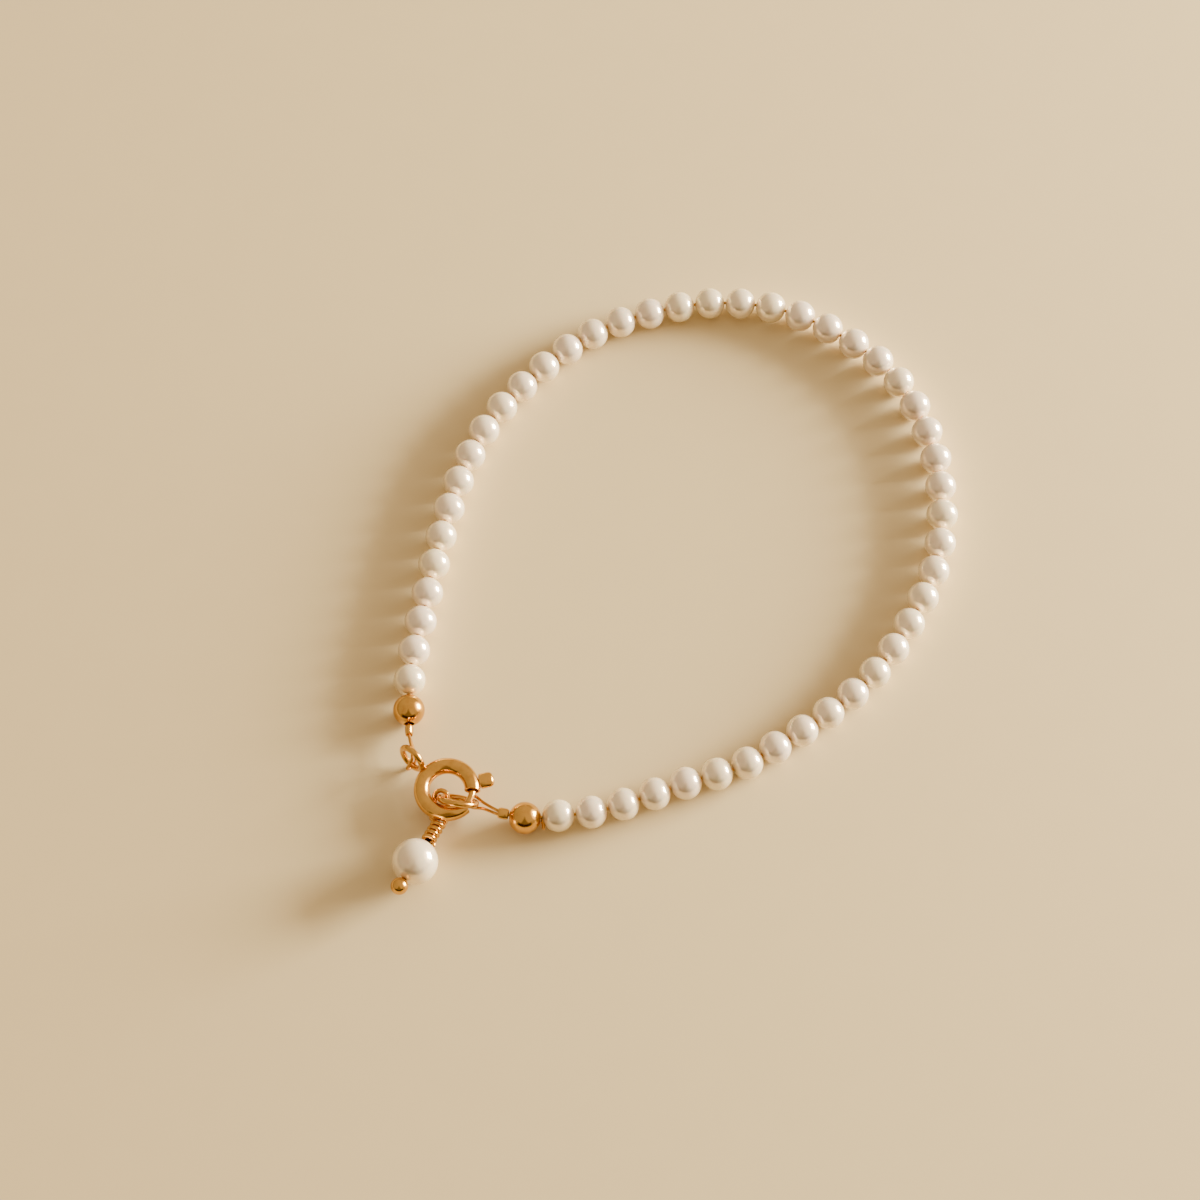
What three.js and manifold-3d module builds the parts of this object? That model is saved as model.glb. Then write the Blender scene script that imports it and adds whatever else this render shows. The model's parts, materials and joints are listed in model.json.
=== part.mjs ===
// Pearl bracelet, closed and lying flat: a string of small pearls on gold wire, a spring ring
// clasp and a pearl charm. Millimetres, +Z up, floor at z = 0.
import * as THREE from 'three';
import { mergeVertices } from 'three/addons/utils/BufferGeometryUtils.js';
import Module from 'manifold-3d';

const wasm = await Module();
wasm.setup();

// Pearls of the string, slightly flat at their drilled ends
const PEARL_ACROSS = 3.1;
const PEARL_ALONG = 2.94;
const PEARL_GAP = 0.12;
const PEARL_SIDES = 12;

// Beading wire, and the space between a wire and what it passes
const WIRE_DIAMETER = 0.3;
const WIRE_SIDES = 6;
const LEG_GAP = 0.09;

// Facets along a bent wire and round a small ring
const BEND_STEPS = 48;
const RING_STEPS = 20;

// Hollow gold balls that close the string, and the crimp beads beside them
const BALL_DIAMETER = 3;
const BALL_HOLE = 0.96;
const CRIMP_LENGTH = 1;
const CRIMP_WIDTH = 1.1;
const CRIMP_WALL = 0.12;
const CRIMP_SQUASH = 0.72;
const BEAD_CLEARANCE = 0.06;

// Spring ring clasp, its angles measured from +X
const RING_DIAMETER = 6.2;
const RING_TUBE = 1.5;
const RING_WALL = 0.22;
const RING_HEIGHT = 1.85;
const GAP_FROM = -46;
const GAP_TO = -3;
const BOLT_DIAMETER = 0.64;
// How far the bolt reaches past the gap's lower end, and how far back it runs, in degrees
const BOLT_SEAT = 3;
const BOLT_TAIL = 70;
const TRIGGER_ANGLE = 14.6;
const TRIGGER_WIDTH = 1.5;
const TRIGGER_THICKNESS = 0.95;
const TRIGGER_REACH = 1.28;
const TRIGGER_ROUND = 0.3;
const TRIGGER_NECK = 0.42;
const TRIGGER_TRAVEL = 35;
const RUNNING_CLEARANCE = 0.07;

// Eye soldered to the clasp, standing on its edge
const EYE_DIAMETER = 3.05;
const EYE_WIRE = 0.6;
const EYE_ANGLE = 137;
const EYE_LOOP_ANGLE = 270;
const EYE_LEAN = 80;
const EYE_HEIGHT = 1.95;
const EYE_SOLDER = 0.1;

// Closed ring that the clasp's bolt passes through, leaning on its edge
const CLOSED_RING_DIAMETER = 4;
const CLOSED_RING_WIRE = 0.62;
const CLOSED_RING_HEADING = -11;
const CLOSED_RING_LEAN = 60;
const CLOSED_RING_FLOOR = 0.03;
const CLOSED_RING_SHIFT = 0.95;
const HOOK_ANGLE = -34;
const RIGHT_LOOP_ANGLE = -39;

// Charm: a pearl on a ball-headed pin whose wire is looped and wrapped round itself
const CHARM_PEARL = 4.3;
const CHARM_HOLE = 0.62;
const PIN_WIRE = 0.45;
const PIN_HEAD = 1.62;
const COIL_TURNS = 4;
const COIL_PITCH = 0.49;
// Middle radius of the coil as a share of the wire: under 1, its turns press into the pin
const COIL_HUG = 0.9;
const CHARM_HEADING = -117;
const CHARM_ANGLE = -103.5;
const PIN_HOOK_ANGLE = 194;
const NECK_HEIGHT = 1.3;
const NECK_GAP = 0.05;

// Cut end of the beading wire beside the right ball, measured from the wire's middle
const TAIL_REACH = 0.95;

// Looks
const PEARL_FINISH = { color: 0xe9dccb, roughness: 0.22, metalness: 0 };
const GOLD_FINISH = { color: 0xd9a24a, roughness: 0.16, metalness: 1 };

// Centre line of the string, from the left crimp clockwise to the right crimp
const STRING_ROUTE = [
  [-17.87, -14.2], [-17.97, -9.0], [-16.9, -2.0], [-13.6, 12.6], [-10.0, 19.8], [-1.6, 28.0],
  [5.7, 31.1], [12.8, 32.1], [20.0, 30.6], [28.7, 24.2], [32.6, 15.5], [32.7, 4.8],
  [29.2, -3.6], [24.2, -10.1], [12.9, -17.9], [9.7, -18.9], [0.0, -22.2], [-4.3, -22.75],
  [-7.0, -22.95], [-8.95, -22.51],
];

// Place of the clasp's centre beside the two ends of the string
const CLASP_PLACE = [-14.18, -20.25];

const { cos, sin, PI } = Math;
const UP = new THREE.Vector3(0, 0, 1);
const wireRadius = WIRE_DIAMETER / 2;
const pearlRadius = PEARL_ACROSS / 2;
const ballRadius = BALL_DIAMETER / 2;
const ringMiddle = (RING_DIAMETER - RING_TUBE) / 2;
const claspCentre = new THREE.Vector3(...CLASP_PLACE, RING_HEIGHT);

const route = new THREE.CatmullRomCurve3(
  STRING_ROUTE.map(([x, y]) => new THREE.Vector3(x, y, pearlRadius)),
);
route.arcLengthDivisions = 2000;
const routeLength = route.getLength();
const ballStation = CRIMP_LENGTH / 2 + BEAD_CLEARANCE + ballRadius;
const stringStart = ballStation + ballRadius + BEAD_CLEARANCE;
const pearlSpan = routeLength - 2 * stringStart;
const pearlCount = Math.round(pearlSpan / (PEARL_ALONG + PEARL_GAP));
const pearlPitch = pearlSpan / pearlCount;

function degrees(angle) {
  return THREE.MathUtils.degToRad(angle);
}

// Unit vector on the floor plane at an angle from +X
function heading(angle) {
  return new THREE.Vector3(cos(degrees(angle)), sin(degrees(angle)), 0);
}

// origin + sum of share * direction
function reach(origin, ...steps) {
  const point = origin.clone();
  for (const [direction, share] of steps) point.addScaledVector(direction, share);
  return point;
}

// Point and direction of the string at a distance from the left crimp
function station(distance) {
  const share = THREE.MathUtils.clamp(distance / routeLength, 0, 1);
  return { point: route.getPointAt(share), along: route.getTangentAt(share) };
}

// Regular polygon whose flats touch the circle
function roundSection(radius, sides) {
  const corner = radius / cos(PI / sides);
  const points = [];
  for (let i = 0; i < sides; i += 1) {
    const angle = ((i + 0.5) / sides) * 2 * PI;
    points.push(new THREE.Vector2(corner * cos(angle), corner * sin(angle)));
  }
  return new THREE.Shape(points);
}

function sweep(section, curve, steps) {
  return new THREE.ExtrudeGeometry(section, { steps, extrudePath: curve, bevelEnabled: false });
}

// Ring arc in the floor plane about the origin
class RingArc extends THREE.Curve {
  constructor(radius, from, to) {
    super();
    this.radius = radius;
    this.from = degrees(from);
    this.to = degrees(to);
  }

  getPoint(share, target = new THREE.Vector3()) {
    const angle = THREE.MathUtils.lerp(this.from, this.to, share);
    return target.set(this.radius * cos(angle), this.radius * sin(angle), 0);
  }
}

function closedMesh(geometry) {
  const bare = geometry.index ? geometry.toNonIndexed() : geometry.clone();
  bare.deleteAttribute('normal');
  bare.deleteAttribute('uv');
  return mergeVertices(bare, 1e-4);
}

function toSolid(geometry) {
  const mesh = closedMesh(geometry);
  const vertProperties = new Float32Array(mesh.attributes.position.array);
  const triVerts = new Uint32Array(mesh.index.array);
  return new wasm.Manifold(new wasm.Mesh({ numProp: 3, vertProperties, triVerts }));
}

function toGeometry(solid) {
  const { vertProperties, triVerts } = solid.getMesh();
  const geometry = new THREE.BufferGeometry();
  geometry.setAttribute('position', new THREE.BufferAttribute(vertProperties, 3));
  geometry.setIndex(new THREE.BufferAttribute(triVerts, 1));
  geometry.computeVertexNormals();
  return geometry;
}

function join(geometries) {
  const [first, ...others] = geometries.map(toSolid);
  return toGeometry(others.reduce((whole, part) => whole.add(part), first));
}

function piece(name, geometry, finish) {
  const mesh = new THREE.Mesh(closedMesh(geometry), new THREE.MeshStandardMaterial(finish));
  mesh.name = name;
  return mesh;
}

// Turns a geometry so that its y axis points along a direction, and moves it to a point
function aim(geometry, direction, point) {
  const turn = new THREE.Quaternion().setFromUnitVectors(new THREE.Vector3(0, 1, 0), direction);
  return geometry.applyQuaternion(turn).translate(point.x, point.y, point.z);
}

// Places a mesh with its y axis along a direction
function seat(mesh, direction, point) {
  mesh.quaternion.setFromUnitVectors(new THREE.Vector3(0, 1, 0), direction);
  mesh.position.copy(point);
  return mesh;
}

// Outline of half a pearl, as shares of its half-length and half-width
const PEARL_OUTLINE = [
  { along: 0.26, across: 1 },
  { along: 0.72, across: 0.74 },
];

// Rings of the beaded string, each a distance along it and a radius
function stringRings() {
  const bare = [LEG_GAP, ballStation - ballRadius, ballStation + ballRadius];
  const rings = bare.map((distance) => ({ distance, radius: wireRadius }));
  for (let i = 0; i < pearlCount; i += 1) {
    const middle = stringStart + pearlPitch * (i + 0.5);
    const half = PEARL_ALONG / 2;
    rings.push({ middle, shift: -half, radius: wireRadius });
    for (const { along, across } of [...PEARL_OUTLINE].reverse()) {
      rings.push({ middle, shift: -half * along, radius: pearlRadius * across });
    }
    for (const { along, across } of PEARL_OUTLINE) {
      rings.push({ middle, shift: half * along, radius: pearlRadius * across });
    }
    rings.push({ middle, shift: half, radius: wireRadius });
  }
  for (const distance of [...bare].reverse()) {
    rings.push({ distance: routeLength - distance, radius: wireRadius });
  }
  return rings.map(({ distance, middle, shift = 0, radius }) => {
    const { point, along } = station(distance ?? middle);
    return { point: reach(point, [along, shift]), along, radius };
  });
}

// One closed skin through all rings; a flat of each ring faces the floor
function pearlString() {
  const rings = stringRings();
  const positions = [];
  for (const { point, along, radius } of rings) {
    const side = new THREE.Vector3().crossVectors(UP, along);
    const corner = radius / cos(PI / PEARL_SIDES);
    for (let i = 0; i < PEARL_SIDES; i += 1) {
      const angle = ((i + 0.5) / PEARL_SIDES) * 2 * PI;
      positions.push(...reach(point, [side, corner * cos(angle)], [UP, corner * sin(angle)]));
    }
  }
  const faces = [];
  for (let row = 0; row < rings.length - 1; row += 1) {
    for (let i = 0; i < PEARL_SIDES; i += 1) {
      const here = row * PEARL_SIDES + i;
      const next = row * PEARL_SIDES + ((i + 1) % PEARL_SIDES);
      faces.push(here, next, next + PEARL_SIDES, here, next + PEARL_SIDES, here + PEARL_SIDES);
    }
  }
  const last = (rings.length - 1) * PEARL_SIDES;
  for (let i = 1; i < PEARL_SIDES - 1; i += 1) {
    faces.push(0, i + 1, i);
    faces.push(last, last + i, last + i + 1);
  }
  const geometry = new THREE.BufferGeometry();
  geometry.setAttribute('position', new THREE.Float32BufferAttribute(positions, 3));
  geometry.setIndex(faces);
  return geometry;
}

// Ball drilled through along y
function drilledBall(radius, holeRadius, rows, sides) {
  const rim = Math.asin(holeRadius / radius);
  const profile = [];
  for (let i = 0; i <= rows; i += 1) {
    const angle = THREE.MathUtils.lerp(rim, PI - rim, i / rows);
    profile.push(new THREE.Vector2(radius * sin(angle), -radius * cos(angle)));
  }
  profile.push(profile[0].clone());
  return new THREE.LatheGeometry(profile, sides);
}

// Barrel-shaped crimp bead along y, squashed in z
function crimp() {
  const outer = CRIMP_WIDTH / 2;
  const inner = outer - CRIMP_WALL;
  const half = CRIMP_LENGTH / 2;
  const end = outer - CRIMP_WALL / 2;
  const profile = [
    [inner, -half], [end, -half], [outer, -half / 3], [outer, half / 3], [end, half],
    [inner, half], [inner, -half],
  ].map(([x, y]) => new THREE.Vector2(x, y));
  return new THREE.LatheGeometry(profile, 14).scale(1, 1, CRIMP_SQUASH);
}

// Doubled end of the beading wire: two legs out of a crimp and a bend through what they hold
function wireLoop(crimpPoint, outward, wide, bend) {
  const spread = wireRadius + LEG_GAP / 4;
  const leg = (side) => [LEG_GAP * 2, CRIMP_LENGTH / 4, CRIMP_LENGTH / 2].map(
    (distance) => reach(crimpPoint, [outward, distance], [wide, side * spread]),
  );
  const curve = new THREE.CatmullRomCurve3([...leg(1), ...bend, ...leg(-1).reverse()]);
  return sweep(roundSection(wireRadius, WIRE_SIDES), curve, BEND_STEPS);
}

// Frame of a small ring that stands on its edge: its long direction and its leaning direction
function leaningFrame(longAngle, leanAngle, lean) {
  const long = heading(longAngle);
  const leaning = reach(new THREE.Vector3(), [heading(leanAngle), cos(degrees(lean))],
    [UP, sin(degrees(lean))]);
  return { long, leaning, normal: new THREE.Vector3().crossVectors(long, leaning) };
}

const eyeFrame = leaningFrame(EYE_ANGLE, EYE_ANGLE - 90, EYE_LEAN);
const eyeMiddle = (EYE_DIAMETER - EYE_WIRE) / 2;
const tubeRadius = RING_TUBE / 2;
const eyeDrop = RING_HEIGHT - EYE_HEIGHT;
const tubeReachAtEye = ringMiddle + Math.sqrt(tubeRadius ** 2 - eyeDrop ** 2);
const eyeDistance = tubeReachAtEye + EYE_DIAMETER / 2 - EYE_SOLDER;
const eyeCentre = reach(claspCentre, [heading(EYE_ANGLE), eyeDistance], [UP, -eyeDrop]);

const closedFrame = leaningFrame(CLOSED_RING_HEADING, CLOSED_RING_HEADING - 90, CLOSED_RING_LEAN);
const closedMiddle = (CLOSED_RING_DIAMETER - CLOSED_RING_WIRE) / 2;
const closedHeight = closedMiddle * sin(degrees(CLOSED_RING_LEAN)) + CLOSED_RING_WIRE / 2
  + CLOSED_RING_FLOOR;
const boltInGap = reach(claspCentre, [heading(HOOK_ANGLE), ringMiddle]);
const closedRise = (RING_HEIGHT - closedHeight) / closedFrame.leaning.z;
const closedCentre = reach(boltInGap, [closedFrame.long, -CLOSED_RING_SHIFT],
  [closedFrame.leaning, -closedRise]);

// Point of a leaning ring's plane, at a radius and an angle from its long direction
function onRing(centre, frame, radius, angle) {
  return reach(centre, [frame.long, radius * cos(degrees(angle))],
    [frame.leaning, radius * sin(degrees(angle))]);
}

function smallRing(middle, wire, frame, centre) {
  const torus = new THREE.TorusGeometry(middle, wire / 2, WIRE_SIDES, RING_STEPS);
  const turn = new THREE.Matrix4().makeBasis(frame.long, frame.leaning, frame.normal);
  return torus.applyMatrix4(turn).translate(centre.x, centre.y, centre.z);
}

// Half turn about a point, from one side of it through another direction
function halfTurn(point, clear, side, through) {
  return [0, 45, 90, 135, 180].map((angle) => reach(point,
    [side, clear * cos(degrees(angle))], [through, clear * sin(degrees(angle))]));
}

// Loop end that goes through a standing ring, round its wire and back outside the ring
function bendThrough(centre, frame, middle, ringWire, angle) {
  const clear = ringWire / 2 + wireRadius + LEG_GAP;
  const outward = onRing(new THREE.Vector3(), frame, 1, angle);
  const wirePoint = onRing(centre, frame, middle, angle);
  const front = frame.normal.clone().negate();
  const behind = reach(wirePoint, [front, -clear], [outward, -middle / 2]);
  return [centre.clone(), ...halfTurn(wirePoint, clear, front, outward), behind];
}

// Hollow C-shaped tube with a slot for the trigger, and the soldered eye
function springRing() {
  const tube = roundSection(tubeRadius, 12);
  tube.holes.push(roundSection(tubeRadius - RING_WALL, 8));
  const body = toSolid(sweep(tube, new RingArc(ringMiddle, GAP_TO, GAP_FROM + 360), 34));
  const place = claspCentre;
  const whole = body.subtract(toSolid(triggerSlot())).translate([place.x, place.y, place.z]);
  const eye = smallRing(eyeMiddle, EYE_WIRE, eyeFrame, eyeCentre);
  return toGeometry(whole.add(toSolid(eye)));
}

// Curved slot in the outer wall, from the trigger at rest to the trigger drawn back
function triggerSlot() {
  const margin = THREE.MathUtils.radToDeg((TRIGGER_NECK / 2 + RUNNING_CLEARANCE) / ringMiddle);
  const from = degrees(TRIGGER_ANGLE - margin);
  const to = degrees(TRIGGER_ANGLE + TRIGGER_TRAVEL + margin);
  const height = TRIGGER_NECK + 2 * RUNNING_CLEARANCE;
  const shape = new THREE.Shape();
  shape.absarc(0, 0, ringMiddle + RING_TUBE, from, to, false);
  shape.absarc(0, 0, ringMiddle + tubeRadius / 4, to, from, true);
  const slot = new THREE.ExtrudeGeometry(shape, {
    depth: height, bevelEnabled: false, curveSegments: 8,
  });
  return slot.translate(0, 0, -height / 2);
}

// Curved bolt inside the tube, its neck through the slot and the thumb tab outside
function claspBolt() {
  const from = GAP_FROM - BOLT_SEAT;
  const rod = sweep(roundSection(BOLT_DIAMETER / 2, 8),
    new RingArc(ringMiddle, from, BOLT_TAIL), 18);
  const outside = ringMiddle + tubeRadius + RUNNING_CLEARANCE;
  const neckLength = outside + TRIGGER_REACH / 2 - ringMiddle;
  const neck = new THREE.BoxGeometry(neckLength, TRIGGER_NECK, TRIGGER_NECK);
  neck.translate(ringMiddle + neckLength / 2, 0, 0);
  const straight = TRIGGER_REACH - TRIGGER_ROUND;
  const tab = new THREE.CylinderGeometry(1, 1, straight, 12);
  tab.scale(TRIGGER_WIDTH / 2, 1, TRIGGER_THICKNESS / 2);
  tab.rotateZ(-PI / 2).translate(outside + straight / 2, 0, 0);
  const cap = new THREE.SphereGeometry(1, 12, 8);
  cap.scale(TRIGGER_WIDTH / 2, TRIGGER_ROUND, TRIGGER_THICKNESS / 2);
  cap.rotateZ(-PI / 2).translate(outside + straight, 0, 0);
  const lever = [neck, tab, cap].map((part) => part.rotateZ(degrees(TRIGGER_ANGLE)));
  return join([rod, ...lever]);
}

// Charm frame: its axis runs from the neck of the wire loop down to the pin's head
const coilRadius = PIN_WIRE * COIL_HUG;
const coilLength = COIL_TURNS * COIL_PITCH + PIN_WIRE / 2 + 2 * BEAD_CLEARANCE;
const charmRadius = CHARM_PEARL / 2;
const neckDistance = RING_DIAMETER / 2 + NECK_GAP + PIN_WIRE / 2;
const neck = reach(claspCentre, [heading(CHARM_ANGLE), neckDistance],
  [UP, NECK_HEIGHT - RING_HEIGHT]);
const neckToPearl = coilLength + charmRadius;
const charmRise = Math.asin((charmRadius - NECK_HEIGHT) / neckToPearl);
const charmAxis = reach(new THREE.Vector3(), [heading(CHARM_HEADING), cos(charmRise)],
  [UP, sin(charmRise)]);
const charmCentre = reach(neck, [charmAxis, neckToPearl]);

// Wire wrapped round the pin between the neck and the pearl, its corners as wide as the wire, so
// that the turns stay apart
function pinCoil() {
  const side = new THREE.Vector3().crossVectors(UP, charmAxis).normalize();
  const over = new THREE.Vector3().crossVectors(charmAxis, side);
  const points = [];
  const stepsPerTurn = 10;
  for (let i = 0; i <= COIL_TURNS * stepsPerTurn; i += 1) {
    const angle = (i / stepsPerTurn) * 2 * PI;
    const down = (i / stepsPerTurn) * COIL_PITCH;
    points.push(reach(neck, [charmAxis, down], [side, coilRadius * cos(angle)],
      [over, coilRadius * sin(angle)]));
  }
  const flats = (PIN_WIRE / 2) * cos(PI / WIRE_SIDES);
  return sweep(roundSection(flats, WIRE_SIDES), new THREE.CatmullRomCurve3(points),
    COIL_TURNS * stepsPerTurn);
}

// Straight pin with its ball head below the pearl
function pinShaft() {
  const radius = PIN_WIRE / 2;
  const headRadius = PIN_HEAD / 2;
  const meets = Math.asin(radius / headRadius);
  const headMiddle = neckToPearl + charmRadius + BEAD_CLEARANCE / 2 + headRadius * cos(meets);
  const profile = [new THREE.Vector2(0, 0), new THREE.Vector2(radius, 0)];
  const rows = 7;
  for (let i = 0; i <= rows; i += 1) {
    const angle = THREE.MathUtils.lerp(meets, PI, i / rows);
    profile.push(new THREE.Vector2(headRadius * sin(angle), headMiddle - headRadius * cos(angle)));
  }
  profile[profile.length - 1].x = 0;
  return aim(new THREE.LatheGeometry(profile, 12), charmAxis, neck);
}

// Way of the pin's wire below the clasp's tube, there and back: outward as a share of the tube's
// radius, across it as a share of the clearance round the closed ring's wire
const UNDER_TUBE = [
  { outward: 0.3, across: -1.4 },
  { outward: -0.4, across: -1 },
  { outward: -0.4, across: 1 },
  { outward: 0.5, across: 0.8 },
];

// Loop of the pin's wire: under the clasp's tube, round the closed ring's far end and back
function pinLoop() {
  const radius = PIN_WIRE / 2;
  const hook = onRing(closedCentre, closedFrame, closedMiddle, PIN_HOOK_ANGLE);
  const clear = CLOSED_RING_WIRE / 2 + radius + LEG_GAP;
  const across = heading(CHARM_ANGLE + 90);
  const away = heading(CHARM_ANGLE);
  const { long, normal } = closedFrame;
  const underTube = tubeRadius + radius + LEG_GAP * 2;
  const tubePoint = reach(claspCentre, [away, ringMiddle], [UP, -underTube]);
  const under = UNDER_TUBE.map((row) => reach(tubePoint, [away, tubeRadius * row.outward],
    [across, clear * row.across]));
  const points = [
    reach(neck, [charmAxis, PIN_WIRE]),
    neck.clone(),
    ...under.slice(0, 2),
    ...halfTurn(hook, clear, long.clone().negate(), normal.clone().negate()),
    ...under.slice(2),
    reach(neck, [across, PIN_WIRE * 1.15], [charmAxis, PIN_WIRE / 2]),
  ];
  return sweep(roundSection(radius, WIRE_SIDES), new THREE.CatmullRomCurve3(points), BEND_STEPS);
}

// Cut end of the beading wire, standing out between the right ball and the last pearl
function wireTail() {
  const { point, along } = station(routeLength - ballStation);
  const toPearl = along.clone().negate();
  const front = new THREE.Vector3().crossVectors(along, UP).negate();
  const inGap = ballRadius + BEAD_CLEARANCE + LEG_GAP;
  const points = [
    reach(point, [toPearl, inGap]),
    reach(point, [toPearl, inGap], [front, wireRadius * 2]),
    reach(point, [toPearl, inGap + LEG_GAP], [front, TAIL_REACH / 2]),
    reach(point, [toPearl, inGap + wireRadius], [front, TAIL_REACH]),
  ];
  return sweep(roundSection(wireRadius, WIRE_SIDES), new THREE.CatmullRomCurve3(points), 8);
}

function leftLoop() {
  const { point, along } = station(0);
  const bend = bendThrough(eyeCentre, eyeFrame, eyeMiddle, EYE_WIRE, EYE_LOOP_ANGLE);
  return wireLoop(point, along.clone().negate(), UP, bend);
}

function rightLoop() {
  const { point, along } = station(routeLength);
  const clear = CLOSED_RING_WIRE / 2 + wireRadius + LEG_GAP;
  const wirePoint = onRing(closedCentre, closedFrame, closedMiddle, RIGHT_LOOP_ANGLE);
  const inward = onRing(new THREE.Vector3(), closedFrame, -1, RIGHT_LOOP_ANGLE);
  const { normal } = closedFrame;
  const toCrimp = point.clone().sub(wirePoint).normalize();
  const pinch = (side) => reach(wirePoint, [toCrimp, clear * 2], [normal, side * clear / 2]);
  const bend = [pinch(1), ...halfTurn(wirePoint, clear, normal, inward), pinch(-1)];
  return wireLoop(point, along, new THREE.Vector3().crossVectors(UP, along), bend);
}

function gold(name, geometry) {
  return piece(name, geometry, GOLD_FINISH);
}

// Balls and crimps on the string's two ends
function endBeads() {
  const beads = [];
  const ends = [['left', 1, 0], ['right', -1, routeLength]];
  for (const [side, inward, end] of ends) {
    const ballAt = station(end + inward * ballStation);
    const ball = gold(`gold_ball_${side}`, drilledBall(ballRadius, BALL_HOLE / 2, 9, 14));
    beads.push(seat(ball, ballAt.along, ballAt.point));
    const crimpAt = station(end);
    const bead = crimp().rotateY(inward > 0 ? PI / 2 : 0);
    beads.push(seat(gold(`crimp_${side}`, bead), crimpAt.along, crimpAt.point));
  }
  return beads;
}

function charm() {
  const pearl = piece('charm_pearl', drilledBall(charmRadius, CHARM_HOLE / 2, 10, 16), PEARL_FINISH);
  const pin = gold('charm_pin', join([pinShaft(), pinCoil(), pinLoop()]));
  return [seat(pearl, charmAxis, charmCentre), pin];
}

function bracelet() {
  const group = new THREE.Group();
  group.add(piece('pearl_string', join([pearlString(), wireTail()]), PEARL_FINISH));
  group.add(...endBeads());
  group.add(gold('wire_loop_left', leftLoop()));
  group.add(gold('wire_loop_right', rightLoop()));
  group.add(gold('spring_ring', springRing()));
  const bolt = gold('clasp_bolt', claspBolt());
  bolt.position.copy(claspCentre);
  group.add(bolt);
  const closed = smallRing(closedMiddle, CLOSED_RING_WIRE, closedFrame, closedCentre);
  group.add(gold('closed_ring', closed));
  group.add(...charm());
  return group;
}

// Origin on the floor under the middle of the bracelet
const model = bracelet();
model.updateMatrixWorld(true);
const box = new THREE.Box3().setFromObject(model, true);
const middle = box.getCenter(new THREE.Vector3());
model.position.set(-middle.x, -middle.y, 0);

export default model;
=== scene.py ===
"""Pearl bracelet with a spring ring clasp and a pearl charm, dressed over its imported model.

Laid out as an add-on and run as a script: sizes and colours are properties, every group of
pieces has an operator, and the panel in the 3D view's sidebar lists them.
"""
import json
import random
from bisect import bisect_right
from math import asin, copysign, cos, degrees, exp, pi, radians, sin, sqrt

import bpy
from bpy.props import FloatProperty, IntProperty, PointerProperty, StringProperty
from bpy.types import Operator, Panel, PropertyGroup
from mathutils import Matrix, Vector, noise


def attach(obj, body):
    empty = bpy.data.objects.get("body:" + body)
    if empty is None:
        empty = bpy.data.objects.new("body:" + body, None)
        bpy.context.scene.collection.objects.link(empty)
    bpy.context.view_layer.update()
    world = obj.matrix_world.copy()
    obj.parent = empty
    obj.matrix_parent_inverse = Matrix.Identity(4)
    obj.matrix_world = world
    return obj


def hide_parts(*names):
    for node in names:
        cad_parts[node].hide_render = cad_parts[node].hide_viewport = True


bl_info = {
    "name": "Pearl bracelet",
    "version": (1, 0, 0),
    "blender": (4, 5, 0),
    "location": "View3D > Sidebar > Bracelet",
    "description": "Builds a pearl bracelet lying on a pale floor",
    "category": "Object",
}

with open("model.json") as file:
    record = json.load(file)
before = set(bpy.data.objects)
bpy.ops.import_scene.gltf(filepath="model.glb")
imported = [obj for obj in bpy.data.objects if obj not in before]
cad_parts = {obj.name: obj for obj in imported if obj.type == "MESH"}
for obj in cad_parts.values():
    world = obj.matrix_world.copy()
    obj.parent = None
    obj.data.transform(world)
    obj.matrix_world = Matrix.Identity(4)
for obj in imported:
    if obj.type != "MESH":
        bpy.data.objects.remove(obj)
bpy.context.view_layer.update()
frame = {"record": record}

MM = 0.001
UP = Vector((0.0, 0.0, 1.0))

# Centre line of the string in the plane of the floor, from the left crimp clockwise, in mm
STRING_ROUTE = [
    (-17.87, -14.2), (-17.97, -9.0), (-16.9, -2.0), (-13.6, 12.6), (-10.0, 19.8), (-1.6, 28.0),
    (5.7, 31.1), (12.8, 32.1), (20.0, 30.6), (28.7, 24.2), (32.6, 15.5), (32.7, 4.8),
    (29.2, -3.6), (24.2, -10.1), (12.9, -17.9), (9.7, -18.9), (0.0, -22.2), (-4.3, -22.75),
    (-7.0, -22.95), (-8.95, -22.51),
]
CLASP_PLACE = (-14.18, -20.25)

# Angles of the clasp and the rings beside it, in degrees from +X
GAP_FROM, GAP_TO = -46.0, -3.0
HOOK_ANGLE = -34.0
TRIGGER_ANGLE, TRIGGER_TRAVEL = 14.6, 35.0
BOLT_SEAT, BOLT_TAIL = 3.0, 70.0
EYE_ANGLE, EYE_LEAN, EYE_LOOP_ANGLE = 137.0, 80.0, 270.0
CLOSED_HEADING, CLOSED_LEAN, RIGHT_LOOP_ANGLE = -11.0, 60.0, -39.0
CHARM_HEADING, CHARM_ANGLE, PIN_HOOK_ANGLE = -117.0, -103.5, 194.0

# Way of the pin's wire below the clasp's tube, there and back: outward as a share of the tube's
# radius, across it as a share of the clearance round the closed ring's wire
UNDER_TUBE = [(0.3, -1.4), (-0.4, -1.0), (-0.4, 1.0), (0.5, 0.8)]

# Outline of the thumb tab: outward as a share of its reach, across as a share of its half width
TAB_OUTLINE = [(0.0, 0.5), (0.0, 0.94), (0.02, 0.985), (0.08, 1.0), (0.45, 1.0), (0.66, 0.985),
               (0.8, 0.91), (0.9, 0.76), (0.97, 0.5), (1.0, 0.16)]
# How many of its points, from the tube outward, follow the tube's roundness
TAB_INNER_ROWS = 4

# Points round the turned pieces
CRIMP_SIDES, TAB_SIDES, HEAD_SIDES, BALL_SIDES = 40, 40, 40, 48
# Middle radius of the charm's coil, in wire diameters
COIL_HUG = 1.08
# Where the charm's pearl lies between the cream and the rose nacre
CHARM_TONE = 0.35

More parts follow.
